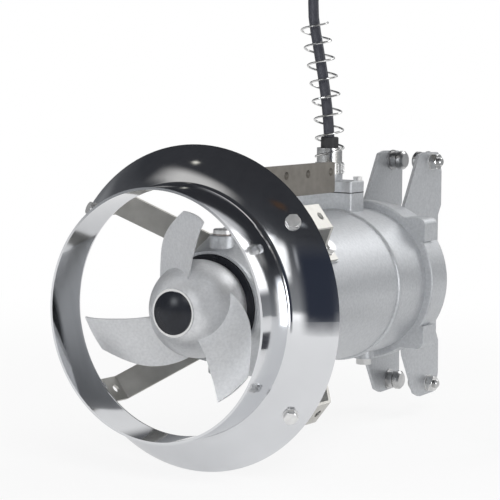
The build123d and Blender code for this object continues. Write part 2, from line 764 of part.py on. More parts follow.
inside = tube(0, housing_radius - shoulder, 0, plate_back_y)
connection_housing += lug_ring(flange_front_y, flange_thickness) - inside
entry_span_x = (entry_low_x, entry_high_x)
entry_span_y = (entry_y, entry_y + entry_depth)
entry_block = block(entry_span_x, entry_span_y, (housing_radius * 2 / 3, entry_block_top))
entry_block = fillet(entry_block.edges().filter_by(Axis.Z), entry_corner)
connection_housing += entry_block - tube(0, housing_bore, 0, plate_back_y)
connection_housing -= post(cable_x, cable_y, 0, entry_bore, entry_block_top)
drain_y = flange_front_y - drain_gap
drain_face_z = -housing_radius - drain_boss_height
drain_boss = post(drain_x, drain_y, drain_face_z, drain_boss_radius, drain_boss_radius * 2)
connection_housing += drain_boss - inside
terminal_floor = terminal_rise - housing_bore
terminal_pad = block((-terminal_width / 2, terminal_width / 2), (entry_y, entry_y + terminal_depth),
                     (-housing_bore - 4, terminal_floor))
connection_housing += terminal_pad - tube(housing_bore + 3, 2 * housing_radius, 0, plate_back_y)
connection_housing -= post(drain_x, drain_y, drain_face_z - 4, drain_thread[0], 2 * drain_boss_radius)
drain_plug = Pos(drain_x, drain_y, drain_face_z) * Rot(180, 0, 0) * bolt(drain_thread, drain_depth)
terminal_y = entry_y + terminal_depth / 2
terminal_top = terminal_floor + terminal_block_size[2]
terminal_block = Box(*terminal_block_size, align=low)
terminal_block = Pos(0, terminal_y, terminal_floor) * terminal_block
for place in (-1.5, -0.5, 0.5, 1.5):
    terminal_block -= post(place * terminal_pitch, terminal_y, terminal_top - terminal_hole_depth,
                           terminal_hole_radius, terminal_hole_depth)

# Cable entry: gasket, cover, gland and rubber sleeve round the cable
cable_bore = Pos(cable_x, cable_y, 0)
entry_gasket_plate = block(entry_span_x, entry_span_y, (entry_block_top, gasket_top))
entry_gasket_plate = fillet(entry_gasket_plate.edges().filter_by(Axis.Z), entry_corner)
entry_cover = block(entry_span_x, entry_span_y, (gasket_top, entry_cover_top))
entry_cover = fillet(entry_cover.edges().filter_by(Axis.Z), entry_corner)
entry_cover = chamfer(entry_cover.edges().group_by(Axis.Z)[-1], entry_edge)
entry_corners = [
    (entry_high_x - entry_bolt_inset, entry_span_y[1] - entry_bolt_inset),
    (entry_low_x + entry_bolt_inset, entry_span_y[0] + entry_bolt_inset),
]
entry_bolts = []
for x, y in entry_corners:
    hole_radius = m6[0] + m6_clearance
    entry_gasket_plate -= post(x, y, entry_block_top, hole_radius, entry_gasket)
    entry_cover -= post(x, y, gasket_top, hole_radius, 2 * entry_plate)
    hole_depth = entry_bolt_grip + hole_depth_spare
    connection_housing -= post(x, y, entry_block_top - hole_depth, m6[0], hole_depth)
    entry_bolts.append(Pos(x, y, entry_cover_top) * bolt(m6, entry_plate + entry_gasket + entry_bolt_grip))
entry_gasket_plate -= cable_bore * Cylinder(entry_bore, long_cut)
entry_cover -= cable_bore * Cylinder(neck_bore, long_cut)

cable_start_z = nut_top - cable_low_gap
cable_points = [
    (cable_x, cable_y, cable_start_z), (cable_x, cable_y, cable_start_z + cable_straight),
    (-32, 379, 228), (-59.5, 385, 335), (-14, 402, 428), (88, 392, 472), (186, 370, 414),
    (228, 353, 292), (232, 348, 165), (226, 350, 45), (228, 352, -axis_height + 42),
    (228, coil_y, -axis_height + 42)]


def unit_turn(a, b, c):
    """The angle turned at b on the way from a to c, in radians."""
    first = (Vector(*b) - Vector(*a)).normalized()
    second = (Vector(*c) - Vector(*b)).normalized()
    return math.acos(max(-1, min(1, first.dot(second))))


cable_bends = []
for before, here, after in zip(cable_points, cable_points[1:], cable_points[2:]):
    shorter = min((Vector(*here) - Vector(*before)).length, (Vector(*after) - Vector(*here)).length)
    cable_bends.append(0.45 * shorter / math.tan(unit_turn(before, here, after) / 2))
cable_line = FilletPolyline(*cable_points, radius=cable_bends)
cable = sweep(Plane(cable_points[0], z_dir=(0, 0, 1)) * Circle(cable_radius), path=cable_line)
spigot_height = neck_top + sleeve_grip - gasket_top
gland_body = cable_bore * (
    Pos(0, 0, entry_cover_top) * Cylinder(neck_radius, neck_height, align=low)
    + Pos(0, 0, gasket_top) * Cylinder(neck_bore, spigot_height, align=low))
gland_body -= cable_bore * Cylinder(cable_radius + cable_clearance, long_cut)
gland_nut = cable_bore * Pos(0, 0, neck_top) * Cylinder(nut_radius, nut_height, align=low)
for turn in range(nut_rib_count):
    rib_angle = turn * 360 / nut_rib_count
    rib_place = cable_bore * Rot(0, 0, rib_angle) * Pos(nut_radius, 0, neck_top + nut_rib_radius)
    gland_nut += rib_place * Cylinder(nut_rib_radius, nut_height - 2 * nut_rib_radius, align=low)
gland_nut -= cable_bore * Pos(0, 0, neck_top) * Cylinder(neck_bore, sleeve_grip, align=low)
gland_nut -= cable_bore * Cylinder(sleeve_radius, long_cut)
gland_collar = cable_bore * Pos(0, 0, nut_top) * Cylinder(collar_radius, collar_height, align=low)
gland_collar -= cable_bore * Cylinder(sleeve_radius, long_cut)
sleeve_foot_z = neck_top + sleeve_grip
cable_sleeve = post(cable_x, cable_y, sleeve_foot_z, sleeve_radius, sleeve_top - sleeve_foot_z)
cable_sleeve = chamfer(cable_sleeve.edges().group_by(Axis.Z)[-1], sleeve_edge)
cable_sleeve -= post(cable_x, cable_y, sleeve_foot_z, cable_radius, cable_start_z - sleeve_foot_z)
cable_sleeve -= cable

# Spring guard: a wound wire that follows the cable up from the collar
spring_radius = collar_radius + spring_wire + spring_clearance
spring_start = nut_top + spring_foot - cable_points[0][2]
spring_points = []
spring_steps = int(spring_turns * 12)
for step in range(spring_steps + 1):
    travel = step / 12 * spring_pitch
    fraction = (spring_start + travel) / cable_line.length
    centre = cable_line @ fraction
    drift = max(0, min(1, (centre.Z - collar_top) / spring_pitch))
    centre = Vector(cable_x, cable_y, centre.Z) * (1 - drift) + centre * drift
    ahead = cable_line % fraction
    side = Vector(1, 0, 0)
    other = ahead.cross(side).normalized()
    angle = math.radians(step * 30 + spring_first_angle)
    spoke = side * math.cos(angle) + other * math.sin(angle)
    spring_points.append(centre + spoke * spring_radius)
spring_line = Spline(*spring_points)
wire_section = Plane(spring_line @ 0, z_dir=spring_line % 0) * RegularPolygon(spring_wire, 8)
spring_guard = sweep(wire_section, path=spring_line)

# Cable coil on the floor, as one solid of its outer shape
coil_x = cable_points[-1][0] + coil_turn_radius + coil_width / 2 - cable_radius
coil_section = RectangleRounded(coil_width, coil_height, coil_corner)
coil_section = Pos(coil_turn_radius, coil_height / 2 - axis_height) * coil_section
cable_coil = Pos(coil_x, coil_y, 0) * revolve(Plane.XZ * coil_section, Axis.Z)
end_x = coil_x + coil_turn_radius + coil_width / 2 - cable_radius
end_z = cable_radius + end_cap_wall - axis_height
end_plane = Plane((end_x, coil_y - cable_end_length / 2, end_z), z_dir=(0, -1, 0))
end_cap = Cylinder(cable_radius + end_cap_wall, end_cap_length, align=low)
cable_end = Cylinder(cable_radius, cable_end_length, align=low) + Pos(0, 0, end_cap_start) * end_cap
cable_end = end_plane * cable_end

# Rear cover and its two guide plates, one casting
rear_cover = tube(0, cover_radius, flange_back_y, cover_back_y)
rear_cover = fillet(rear_cover.edges().group_by(Axis.Y)[-1], cover_round)
rear_cover += lug_ring(flange_back_y, cover_lug)
seal_radius = housing_bore - square_seal_depth
seal_y = flange_back_y - 2 * square_seal
cover_seal = tube(seal_radius, housing_bore, seal_y, seal_y + square_seal)
seal_groove = tube(seal_radius - seal_slack, housing_bore, seal_y - seal_slack, seal_y + square_seal)
spigot_inner = housing_bore - cover_spigot_wall
spigot_front_y = flange_back_y - cover_spigot
rear_cover += tube(spigot_inner, housing_bore, spigot_front_y, flange_back_y + 2) - seal_groove
rear_cover -= tube(0, spigot_inner, spigot_front_y, cover_back_y - cover_skin)

# The outline of one plate's upper and lower ear, as distances behind the cover and heights
ear_upper = [
    (2, 70), (2, 84), (8.5, 94.4), (35, 140.3), (49, 143), (83, 142), (92, 118.6), (92.3, 79), (85, 67.6)]
ear_lower = [
    (85, -72), (91.4, -83), (92.3, -123.3), (83.7, -144), (46.7, -145.4), (34, -140.3), (6, -91.8), (2, -75)]
plate_points = [(cover_back_y + y, z) for y, z in ear_upper + ear_lower]
plate_front_y = cover_back_y - plate_root
plate_points = [(plate_front_y, ear_upper[0][1])] + plate_points + [(plate_front_y, ear_lower[-1][1])]
plate_sketch = make_face(Polyline(*plate_points, close=True))
sharp = [v for v in plate_sketch.vertices() if abs(v.Y) > cover_radius]
plate_sketch = fillet(sharp, plate_corner)
guide_plate = Pos(plate_inner_x, 0, 0) * extrude(Plane.YZ * plate_sketch, plate_thickness)
for z in (guide_pin_z, -guide_pin_z):
    guide_plate -= Pos(plate_x, pin_y, z) * Rot(0, 90, 0) * Cylinder(m10_washer[1], 4 * plate_thickness)
rear_cover += guide_plate
rear_cover += mirror(guide_plate, Plane.YZ)

# Lug bolts of the rear cover
lug_bolts = []
lug_washers = []
lug_bolt_length = m8_washer[2] + cover_lug + lug_bolt_grip
thread_depth = cover_lug + lug_bolt_grip + hole_depth_spare
for x in (-lug_bolt_x, lug_bolt_x):
    for z in (-lug_bolt_z, lug_bolt_z):
        place = Plane((x, flange_back_y + cover_lug, z), x_dir=(1, 0, 0), z_dir=(0, 1, 0)).location
        rear_cover -= place * Cylinder(m8_washer[1], 2 * cover_lug)
        rear_cover -= place * Cylinder(lug_counterbore, cover_length, align=low)
        connection_housing -= place * Cylinder(m8[0], thread_depth, align=high)
        lug_washers.append(place * washer(m8_washer))
        lug_bolts.append(place * Pos(0, 0, m8_washer[2]) * bolt(m8, lug_bolt_length))

# Square-cut seal between the housings
oil_seal_y = oil_back_y + square_seal
oil_seal = tube(spigot_radius - square_seal_depth, spigot_radius, oil_seal_y, oil_seal_y + square_seal)
oil_housing -= oil_seal
housing_seals = [oil_seal, cover_seal]

# Guide pins: barrel, groove and chamfered head inside, with a stud through the plate
groove_start = guide_pin_collar + guide_pin_barrel
head_start = groove_start + guide_pin_groove
pin = Cylinder(guide_pin_radius + guide_pin_collar, guide_pin_collar, align=low)
pin += Pos(0, 0, guide_pin_collar) * Cylinder(guide_pin_radius, guide_pin_barrel, align=low)
pin += Pos(0, 0, groove_start) * Cylinder(guide_pin_radius - guide_pin_collar, guide_pin_groove, align=low)
head = Pos(0, 0, head_start) * Cylinder(guide_pin_radius + guide_pin_collar / 2, guide_pin_head, align=low)
pin += chamfer(head.edges().group_by(Axis.Z)[-1], guide_pin_chamfer)
stud = Cylinder(m10[0], plate_thickness + stud_reach, align=high)
pin += chamfer(stud.edges().group_by(Axis.Z)[0], guide_pin_chamfer / 2)
guide_pins = []
pin_washers = []
pin_nuts = []
for side in (-1, 1):
    for z in (guide_pin_z, -guide_pin_z):
        inside = Plane((side * plate_inner_x, pin_y, z), x_dir=(0, 1, 0), z_dir=(-side, 0, 0)).location
        outside = Plane((side * plate_x, pin_y, z), x_dir=(0, 1, 0), z_dir=(side, 0, 0)).location
        guide_pins.append(inside * pin)
        pin_washers.append(outside * washer(m10_washer))
        pin_nuts.append(outside * Pos(0, 0, m10_washer[2]) * nut(m10, m10[2]))

# The cable's inner end: its sheath through the gland and three cores to the terminal block
core_top_z = cable_points[0][2] - cable_inner
cable_tail = post(cable_x, cable_y, core_top_z, cable_radius, cable_inner)
side_step = core_offset * 0.6
core_places = [(-core_offset, 0, -1.5), (core_offset, side_step, 0.5), (core_offset, -side_step, -0.5)]
for x, y, terminal in core_places:
    line = FilletPolyline(
        (cable_x + x, cable_y + y, core_top_z + 2),
        (cable_x + x, cable_y + y, core_top_z - core_drop),
        (terminal * terminal_pitch, terminal_y, core_top_z - 1.5 * core_drop),
        (terminal * terminal_pitch, terminal_y, terminal_top - terminal_hole_depth),
        radius=core_bend)
    cable_tail += sweep(Plane(line @ 0, z_dir=(0, 0, -1)) * Circle(core_radius), path=line)

m8_bolts = [ring_bolt] + foot_bolts
m8_washers = [ring_washer] + foot_washers
pieces = {
    "jet_ring": jet_ring,
    "strap_upper_right": round_shaft(strap, strap_angles[:1])[0],
    "strap_upper_left": round_shaft(strap, strap_angles[1:2])[0],
    "strap_lower_left": round_shaft(strap, strap_angles[2:3])[0],
    "strap_lower_right": round_shaft(strap, strap_angles[3:])[0],
    "strap_bolts": [copy for part in m8_bolts for copy in round_shaft(part, strap_angles)],
    "bolt_washers": [copy for part in m8_washers for copy in round_shaft(part, strap_angles)] + lug_washers,
    "ring_nuts": round_shaft(ring_nut, strap_angles),
    "propeller": propeller,
    "hub_cap": hub_cap,
    "cap_ring": cap_ring,
    "propeller_screw": propeller_screw,
    "propeller_washer": propeller_washer,
    "propeller_key": key,
    "deflector_ring": deflector_ring,
    "shaft": shaft,
    "rotor_core": rotor_core,
    "rotor_rings": rotor_rings,
    "stator_core": stator_core,
    "stator_windings": stator_windings,
    "front_bearing_inner": front_inner,
    "front_bearing_outer": front_outer,
    "front_bearing_balls": front_balls,
    "front_bearing_cage": front_cage,
    "rear_bearing_inner": rear_inner,
    "rear_bearing_outer": rear_outer,
    "rear_bearing_balls": rear_balls,
    "rear_bearing_cage": rear_cage,
    "front_seal_seat": front_seal_seat,
    "front_seal_ring": front_seal_ring,
    "rear_seal_seat": rear_seal_seat,
    "rear_seal_ring": rear_seal_ring,
    "oil_housing": oil_housing,
    "oil_plugs": oil_plugs,
    "plug_gaskets": plug_gaskets,
    "motor_housing": motor_housing,
    "bearing_bracket": bracket,
    "connection_housing": connection_housing,
    "housing_seals": housing_seals,
    "drain_plug": drain_plug,
    "terminal_block": terminal_block,
    "cable_tail": cable_tail,
    "rear_cover": rear_cover,
    "lug_bolts": lug_bolts,
    "guide_pins": guide_pins,
    "guide_pin_washers": pin_washers,
    "guide_pin_nuts": pin_nuts,
    "lifting_plate": lift_plate,
    "lifting_bolts": lift_bolts,
    "entry_gasket": entry_gasket_plate,
    "entry_cover": entry_cover,
    "entry_bolts": entry_bolts,
    "gland_body": gland_body,
    "gland_nut": gland_nut,
    "gland_collar": gland_collar,
    "cable_sleeve": cable_sleeve,
    "spring_guard": spring_guard,
    "cable": cable,
    "cable_coil": cable_coil,
    "cable_end": cable_end,
}
for name, shape in pieces.items():
    save(name, shape)
print(len(pieces), "pieces; cable bends", [round(r) for r in cable_bends])
print("cable length", round(cable_line.length))
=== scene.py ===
import json
import math

import bpy
from mathutils import Matrix, Vector


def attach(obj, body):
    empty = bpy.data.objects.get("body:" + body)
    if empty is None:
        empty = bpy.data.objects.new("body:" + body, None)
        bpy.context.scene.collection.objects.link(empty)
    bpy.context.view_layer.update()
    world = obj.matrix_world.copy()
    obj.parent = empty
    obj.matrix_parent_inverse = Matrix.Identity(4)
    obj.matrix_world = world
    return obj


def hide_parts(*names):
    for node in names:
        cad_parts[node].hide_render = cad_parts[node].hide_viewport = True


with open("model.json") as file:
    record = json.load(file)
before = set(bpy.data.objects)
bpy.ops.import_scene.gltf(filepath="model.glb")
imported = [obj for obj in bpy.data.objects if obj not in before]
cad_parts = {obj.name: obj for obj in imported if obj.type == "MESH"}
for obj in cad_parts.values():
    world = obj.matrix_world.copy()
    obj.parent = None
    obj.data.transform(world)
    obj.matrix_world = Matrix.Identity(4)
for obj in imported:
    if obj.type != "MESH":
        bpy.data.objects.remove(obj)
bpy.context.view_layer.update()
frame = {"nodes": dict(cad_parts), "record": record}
nodes = frame["nodes"]
scene = bpy.context.scene

# Sizes in metres, as in the CAD
half_length = 0.27715
axis_height = 0.1668
cable_diameter = 0.012
coil_turn_radius = 0.090
coil_width = 0.048
coil_height = 0.048
coil_turns = 15.5

# The cable's coil: points on each turn, and the part of a turn in which the cable shifts to the next one
points_per_turn = 16
shift_share = 0.3

# The cable's end: its gap over the floor, and how far its last points lie along the straight run
end_floor_gap = 0.001
end_distances = (0.0, 0.03, 0.06, 0.09)

# The rib's bead, in millimetres from the ring's rim and the shaft axis
rib_middle_y = 353.5
bead_foot_radius = 82.4
bead_half_width = 4.2
bead_height = 2.85
bead_steps = 160
bead_points_across = 13

# Noise in the surfaces: where on it the colours reach their ends, and the finer noise of the relief
noise_detail = 4.0
noise_dark_end = 0.3
noise_light_end = 0.7
relief_noise_factor = 6
relief_noise_detail = 2.0
relief_distance = 0.0005

# Studio, with lengths in metres. The boards are placed as seen from the ring's centre. The floor fades to
# white between two distances from the object.
ring_centre_y = -0.22
floor_reach = 6.0
floor_roughness = 0.9
floor_noise_scale = 3.0
floor_noise_detail = 2.0
fade_start = 0.45
fade_end = 1.4
white_at_start = 0.85
white_in_reflections = 0.5
dome_radius = 3.4
dome_rings = 12
dome_sides = 32
world_light = 0.48

# Camera of the photograph: place in metres, lens and sensor in millimetres, picture in pixels
camera_azimuth = math.radians(32.433)
camera_elevation = math.radians(5.602)
camera_roll = math.radians(0.599)
camera_place = (1.2072, -2.0007, 0.4399)
camera_lens = 155.07
sensor_width = 36
clip_end = 50
picture_size = 500


def from_shaft(x, y, z):
    """A place given from the ring's rim and the shaft axis, in millimetres, to the frame in metres."""
    return Vector((x / 1000, y / 1000 - half_length, z / 1000 + axis_height))


def add_object(name, data):
    """A new object in the scene."""
    thing = bpy.data.objects.new(name, data)
    scene.collection.objects.link(thing)
    return thing


def new_mesh(name, points, faces):
    """A new mesh from its points and faces."""
    mesh = bpy.data.meshes.new(name)
    mesh.from_pydata(points, [], faces)
    return mesh


def rectangle(name, half_width, half_height):
    """A flat rectangle round its own origin."""
    corners = [(-half_width, -half_height, 0), (half_width, -half_height, 0),
               (half_width, half_height, 0), (-half_width, half_height, 0)]
    return new_mesh(name, corners, [(0, 1, 2, 3)])


# Cable: the listed route of the CAD, then the turns of the coil
route = [
    from_shaft(-21, 374.5, 134), from_shaft(-21, 374.5, 168), from_shaft(-32, 379, 228),
    from_shaft(-59.5, 385, 335), from_shaft(-14, 402, 428), from_shaft(88, 392, 472),
    from_shaft(186, 370, 414), from_shaft(228, 353, 292), from_shaft(232, 348, 165),
    from_shaft(226, 350, 45), from_shaft(228, 352, -124.8), from_shaft(228, 487, -124.8),
]
columns = round(coil_width / cable_diameter)
layers = round(coil_height / cable_diameter)
outer_turn_radius = coil_turn_radius + (coil_width - cable_diameter) / 2
top_turn_height = coil_height - cable_diameter / 2
coil_centre = Vector((route[-1].x + outer_turn_radius, route[-1].y, 0))


def turn_place(turn):
    """Radius and height of one turn: each layer fills from side to side, from the top layer down."""
    layer, column = divmod(turn, columns)
    if layer % 2:
        column = columns - 1 - column
    return outer_turn_radius - column * cable_diameter, top_turn_height - layer * cable_diameter


for step in range(1, int(coil_turns * points_per_turn)):
    turn, part = divmod(step, points_per_turn)
    share = part / points_per_turn
    blend = max(0.0, (share - 1 + shift_share) / shift_share)
    radius, height = turn_place(turn)
    next_radius, next_height = turn_place(min(turn + 1, columns * layers - 1))
    radius += (next_radius - radius) * blend
    height += (next_height - height) * blend
    angle = math.pi - 2 * math.pi * share
    route.append(coil_centre + Vector((radius * math.cos(angle), radius * math.sin(angle), height)))
end_height = cable_diameter / 2 + end_floor_gap
for distance in end_distances:
    route.append(coil_centre + Vector((outer_turn_radius, -distance, end_height)))

cable_data = bpy.data.curves.new("cable_with_coil", "CURVE")
cable_data.dimensions = "3D"
cable_data.bevel_depth = 1.0
cable_data.bevel_resolution = 5
cable_data.resolution_u = 6
cable_spline = cable_data.splines.new("NURBS")
cable_spline.points.add(len(route) - 1)
# Each point carries half the cable's diameter as its radius, because the curve's box grows by that radius
for point, place in zip(cable_spline.points, route):
    point.co = (*place, 1)
    point.radius = cable_diameter / 2
cable_spline.order_u = 3
cable_spline.use_endpoint_u = True
cable = add_object("cable_with_coil", cable_data)
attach(cable, "mixer")
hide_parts("cable", "cable_coil")


def new_material(name):
    """An empty node material and its main shader."""
    material = bpy.data.materials.new(name)
    material.use_nodes = True
    return material, material.node_tree, material.node_tree.nodes["Principled BSDF"]


def add_noise(tree, scale, detail, stretch=(1, 1, 1)):
    """Noise over the piece's own place, so that it needs no texture coordinates of its own."""
    place = tree.nodes.new("ShaderNodeTexCoord")
    mapping = tree.nodes.new("ShaderNodeMapping")
    mapping.inputs["Scale"].default_value = stretch
    noise = tree.nodes.new("ShaderNodeTexNoise")
    noise.inputs["Scale"].default_value = scale
    noise.inputs["Detail"].default_value = detail
    tree.links.new(place.outputs["Object"], mapping.inputs["Vector"])
    tree.links.new(mapping.outputs["Vector"], noise.inputs["Vector"])
    return noise.outputs["Fac"]


def add_ramp(tree, value, stops):
    """A colour ramp over a value. Each stop is a position and a colour."""
    ramp = tree.nodes.new("ShaderNodeValToRGB")
    elements = ramp.color_ramp.elements
    while len(elements) < len(stops):
        elements.new(0.5)
    for element, (position, color) in zip(elements, stops):
        element.position = position
        element.color = (*color, 1)
    tree.links.new(value, ramp.inputs["Fac"])
    return ramp.outputs["Color"]


def add_range(tree, value, source=(0, 1), target=(0, 1), smooth=False):
    """A value mapped from a source range to a target range."""
    spread = tree.nodes.new("ShaderNodeMapRange")
    if smooth:
        spread.interpolation_type = "SMOOTHSTEP"
    ends = {"From Min": source[0], "From Max": source[1], "To Min": target[0], "To Max": target[1]}
    for end, number in ends.items():
        spread.inputs[end].default_value = number
    tree.links.new(value, spread.inputs["Value"])
    return spread.outputs["Result"]


def add_math(tree, operation, *inputs):
    """A math node. Each of its inputs is an output of another node or a plain number."""
    node = tree.nodes.new("ShaderNodeMath")
    node.operation = operation
    for socket, value in zip(node.inputs, inputs):
        if isinstance(value, float):
            socket.default_value = value
        else:
            tree.links.new(value, socket)
    return node.outputs["Value"]


def finish_with_mix(tree, output, share, first, second):
    """Two shaders mixed by a share and led to the output of the material or the world."""
    mix = tree.nodes.new("ShaderNodeMixShader")
    for socket, value in enumerate((share, first, second)):
        tree.links.new(value, mix.inputs[socket])
    tree.links.new(mix.outputs["Shader"], tree.nodes[output].inputs["Surface"])


def surface(name, dark, light, metallic, roughness, scale, bump=0.0, stretch=(1, 1, 1)):
    """A surface whose colour, roughness and height all vary with noise."""
    material, tree, shader = new_material(name)
    noise = add_noise(tree, scale, noise_detail, stretch)
    color = add_ramp(tree, noise, [(noise_dark_end, dark), (noise_light_end, light)])
    spread = add_range(tree, noise, target=roughness)
    tree.links.new(color, shader.inputs["Base Color"])
    tree.links.new(spread, shader.inputs["Roughness"])
    shader.inputs["Metallic"].default_value = metallic
    if bump:
        height = add_noise(tree, scale * relief_noise_factor, relief_noise_detail, stretch)
        relief = tree.nodes.new("ShaderNodeBump")
        relief.inputs["Strength"].default_value = bump
        relief.inputs["Distance"].default_value = relief_distance
        tree.links.new(height, relief.inputs["Height"])
        tree.links.new(relief.outputs["Normal"], shader.inputs["Normal"])
    return material


# Each surface: name, darkest and lightest colour, metallic, lowest and highest roughness, noise scale
polished_finish = surface("polished_steel", (0.69, 0.7, 0.72), (0.74, 0.75, 0.77), 1.0, (0.06, 0.1), 14)
strap_finish = surface("strap_steel", (0.5, 0.49, 0.46), (0.6, 0.59, 0.56), 0.85, (0.32, 0.45), 60,
                       bump=0.1)
cast_finish = surface("cast_grey", (0.5, 0.515, 0.535), (0.6, 0.615, 0.635), 0.6, (0.34, 0.44), 330,
                      bump=0.25)
blade_finish = surface("cast_steel", (0.62, 0.63, 0.645), (0.72, 0.73, 0.745), 0.55, (0.33, 0.42), 330,
                       bump=0.2)
fastener_finish = surface("fastener", (0.68, 0.68, 0.68), (0.8, 0.8, 0.79), 0.8, (0.3, 0.42), 150)
turned_finish = surface("turned_steel", (0.6, 0.6, 0.6), (0.74, 0.74, 0.73), 1.0, (0.18, 0.26), 150)
plastic_finish = surface("black_plastic", (0.008, 0.009, 0.013), (0.014, 0.016, 0.022), 0.0,
                         (0.18, 0.26), 80)
plastic_finish.node_tree.nodes["Principled BSDF"].inputs["Specular IOR Level"].default_value = 0.35
rubber_finish = surface("black_rubber", (0.018, 0.018, 0.02), (0.035, 0.035, 0.038), 0.0, (0.5, 0.65), 90,
                        bump=0.1)
cable_finish = surface("cable_rubber", (0.035, 0.036, 0.048), (0.05, 0.052, 0.066), 0.0, (0.38, 0.5), 120,
                       bump=0.08)
machined_finish = surface("machined_steel", (0.5, 0.5, 0.5), (0.62, 0.62, 0.62), 1.0, (0.26, 0.36), 120)
bearing_finish = surface("bearing_steel", (0.68, 0.68, 0.68), (0.78, 0.78, 0.78), 1.0, (0.1, 0.18), 120)
sheet_finish = surface("laminations", (0.12, 0.12, 0.13), (0.22, 0.22, 0.23), 0.8, (0.5, 0.6), 10,
                       stretch=(1, 60, 1))
copper_finish = surface("copper", (0.5, 0.22, 0.1), (0.72, 0.36, 0.18), 1.0, (0.3, 0.45), 200)
gasket_finish = surface("dull_copper", (0.3, 0.26, 0.24), (0.4, 0.34, 0.31), 0.9, (0.4, 0.5), 120)
bronze_finish = surface("bronze", (0.5, 0.36, 0.16), (0.66, 0.5, 0.26), 1.0, (0.3, 0.4), 120)
carbide_finish = surface("seal_carbide", (0.06, 0.06, 0.065), (0.1, 0.1, 0.11), 0.2, (0.15, 0.25), 100)
terminal_finish = surface("terminal_plastic", (0.7, 0.69, 0.64), (0.8, 0.79, 0.74), 0.0, (0.5, 0.6), 100)
wire_finish = surface("wire_plastic", (0.25, 0.12, 0.06), (0.36, 0.18, 0.1), 0.0, (0.4, 0.5), 100)
plate_finish = surface("plate_grey", (0.19, 0.175, 0.155), (0.24, 0.225, 0.2), 0.35, (0.42, 0.52), 90,
                       bump=0.15)

finish_of_slot = {
    "polished_steel": polished_finish,
    "strap_steel": strap_finish,
    "cast_grey": cast_finish,
    "cast_steel": blade_finish,
    "fastener": fastener_finish,
    "black_plastic": plastic_finish,
    "black_rubber": rubber_finish,
    "cable_rubber": cable_finish,
    "steel": machined_finish,
    "bearing_steel": bearing_finish,
    "laminations": sheet_finish,
    "copper": copper_finish,
    "bronze": bronze_finish,
    "seal_carbide": carbide_finish,
    "terminal_plastic": terminal_finish,
    "wire_plastic": wire_finish,
    "plate_grey": plate_finish,
}
for part in frame["record"]["subparts"]:
    shown = nodes[part["node"]]
    shown.data.materials.clear()
    shown.data.materials.append(finish_of_slot[part["material_slot"]])
nodes["plug_gaskets"].data.materials[0] = gasket_finish
for node in ("gland_nut", "gland_collar", "spring_guard", "guide_pin_nuts"):
    nodes[node].data.materials[0] = turned_finish
cable_data.materials.append(cable_finish)

# A half-round bead over the rib of the connection housing, which the CAD keeps flat on top
bead_points = []
bead_faces = []
for step in range(bead_steps):
    turn = 2 * math.pi * step / bead_steps
    for across in range(bead_points_across):
        swing = math.pi * across / (bead_points_across - 1)
        radius = bead_foot_radius + bead_height * math.sin(swing)
        y = rib_middle_y - bead_half_width * math.cos(swing)
        bead_points.append(from_shaft(radius * math.cos(turn), y, radius * math.sin(turn)))
for step in range(bead_steps):
    row = step * bead_points_across
    next_row = (step + 1) % bead_steps * bead_points_across
    for across in range(bead_points_across - 1):
        bead_faces.append((row + across, row + across + 1, next_row + across + 1, next_row + across))
bead_mesh = new_mesh("rib_bead", bead_points, bead_faces)
bead_mesh.shade_smooth()
bead_mesh.materials.append(cast_finish)
bead = add_object("rib_bead", bead_mesh)
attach(bead, "mixer")

# Floor
floor_mesh = rectangle("floor", floor_reach, floor_reach)
floor = add_object("floor", floor_mesh)
floor_material, floor_tree, floor_shader = new_material("floor")
floor_noise = add_noise(floor_tree, floor_noise_scale, floor_noise_detail)
floor_color = add_ramp(floor_tree, floor_noise, [(0.0, (0.88, 0.88, 0.88)), (1.0, (0.92, 0.92, 0.92))])
floor_tree.links.new(floor_color, floor_shader.inputs["Base Color"])
floor_shader.inputs["Roughness"].default_value = floor_roughness

# Far from the object the floor turns white for the camera, so that it has no edge
floor_place = floor_tree.nodes.new("ShaderNodeTexCoord")
floor_distance = floor_tree.nodes.new("ShaderNodeVectorMath")
floor_distance.operation = "LENGTH"
floor_tree.links.new(floor_place.outputs["Object"], floor_distance.inputs[0])
fade = add_range(floor_tree, floor_distance.outputs["Value"], source=(fade_start, fade_end),
                 target=(white_at_start, 1), smooth=True)
floor_rays = floor_tree.nodes.new("ShaderNodeLightPath")
fade_seen = add_math(floor_tree, "MULTIPLY", fade, floor_rays.outputs["Is Camera Ray"])
white_share = add_math(floor_tree, "MULTIPLY_ADD", floor_rays.outputs["Is Glossy Ray"],
                       white_in_reflections, fade_seen)
floor_white = floor_tree.nodes.new("ShaderNodeEmission")
finish_with_mix(floor_tree, "Material Output", white_share,
                floor_shader.outputs["BSDF"], floor_white.outputs["Emission"])
floor_mesh.materials.append(floor_material)


def only_in_reflections(name, mesh):
    """A stage piece that shows in metal and neither in the picture nor in the light."""
    thing = add_object(name, mesh)
    thing.visible_camera = False
    thing.visible_diffuse = False
    thing.visible_shadow = False
    thing.visible_transmission = False
    return thing


# Studio dome: dark overhead and paler towards the horizon
dome_points = []
dome_faces = []
for ring in range(dome_rings + 1):
    rise = math.pi / 2 * ring / dome_rings
    for side in range(dome_sides):
        turn = 2 * math.pi * side / dome_sides
        dome_points.append((dome_radius * math.cos(rise) * math.cos(turn),
                            dome_radius * math.cos(rise) * math.sin(turn),
                            dome_radius * math.sin(rise)))
for ring in range(dome_rings):
    for side in range(dome_sides):
        after = (side + 1) % dome_sides
        low_row, high_row = ring * dome_sides, (ring + 1) * dome_sides
        dome_faces.append((low_row + side, low_row + after, high_row + after, high_row + side))
dome_mesh = new_mesh("studio_dome", dome_points, dome_faces)
only_in_reflections("studio_dome", dome_mesh)
dome_material, dome_tree, dome_shader = new_material("studio_dome")
dome_place = dome_tree.nodes.new("ShaderNodeTexCoord")
dome_axes = dome_tree.nodes.new("ShaderNodeSeparateXYZ")
dome_tree.links.new(dome_place.outputs["Object"], dome_axes.inputs["Vector"])
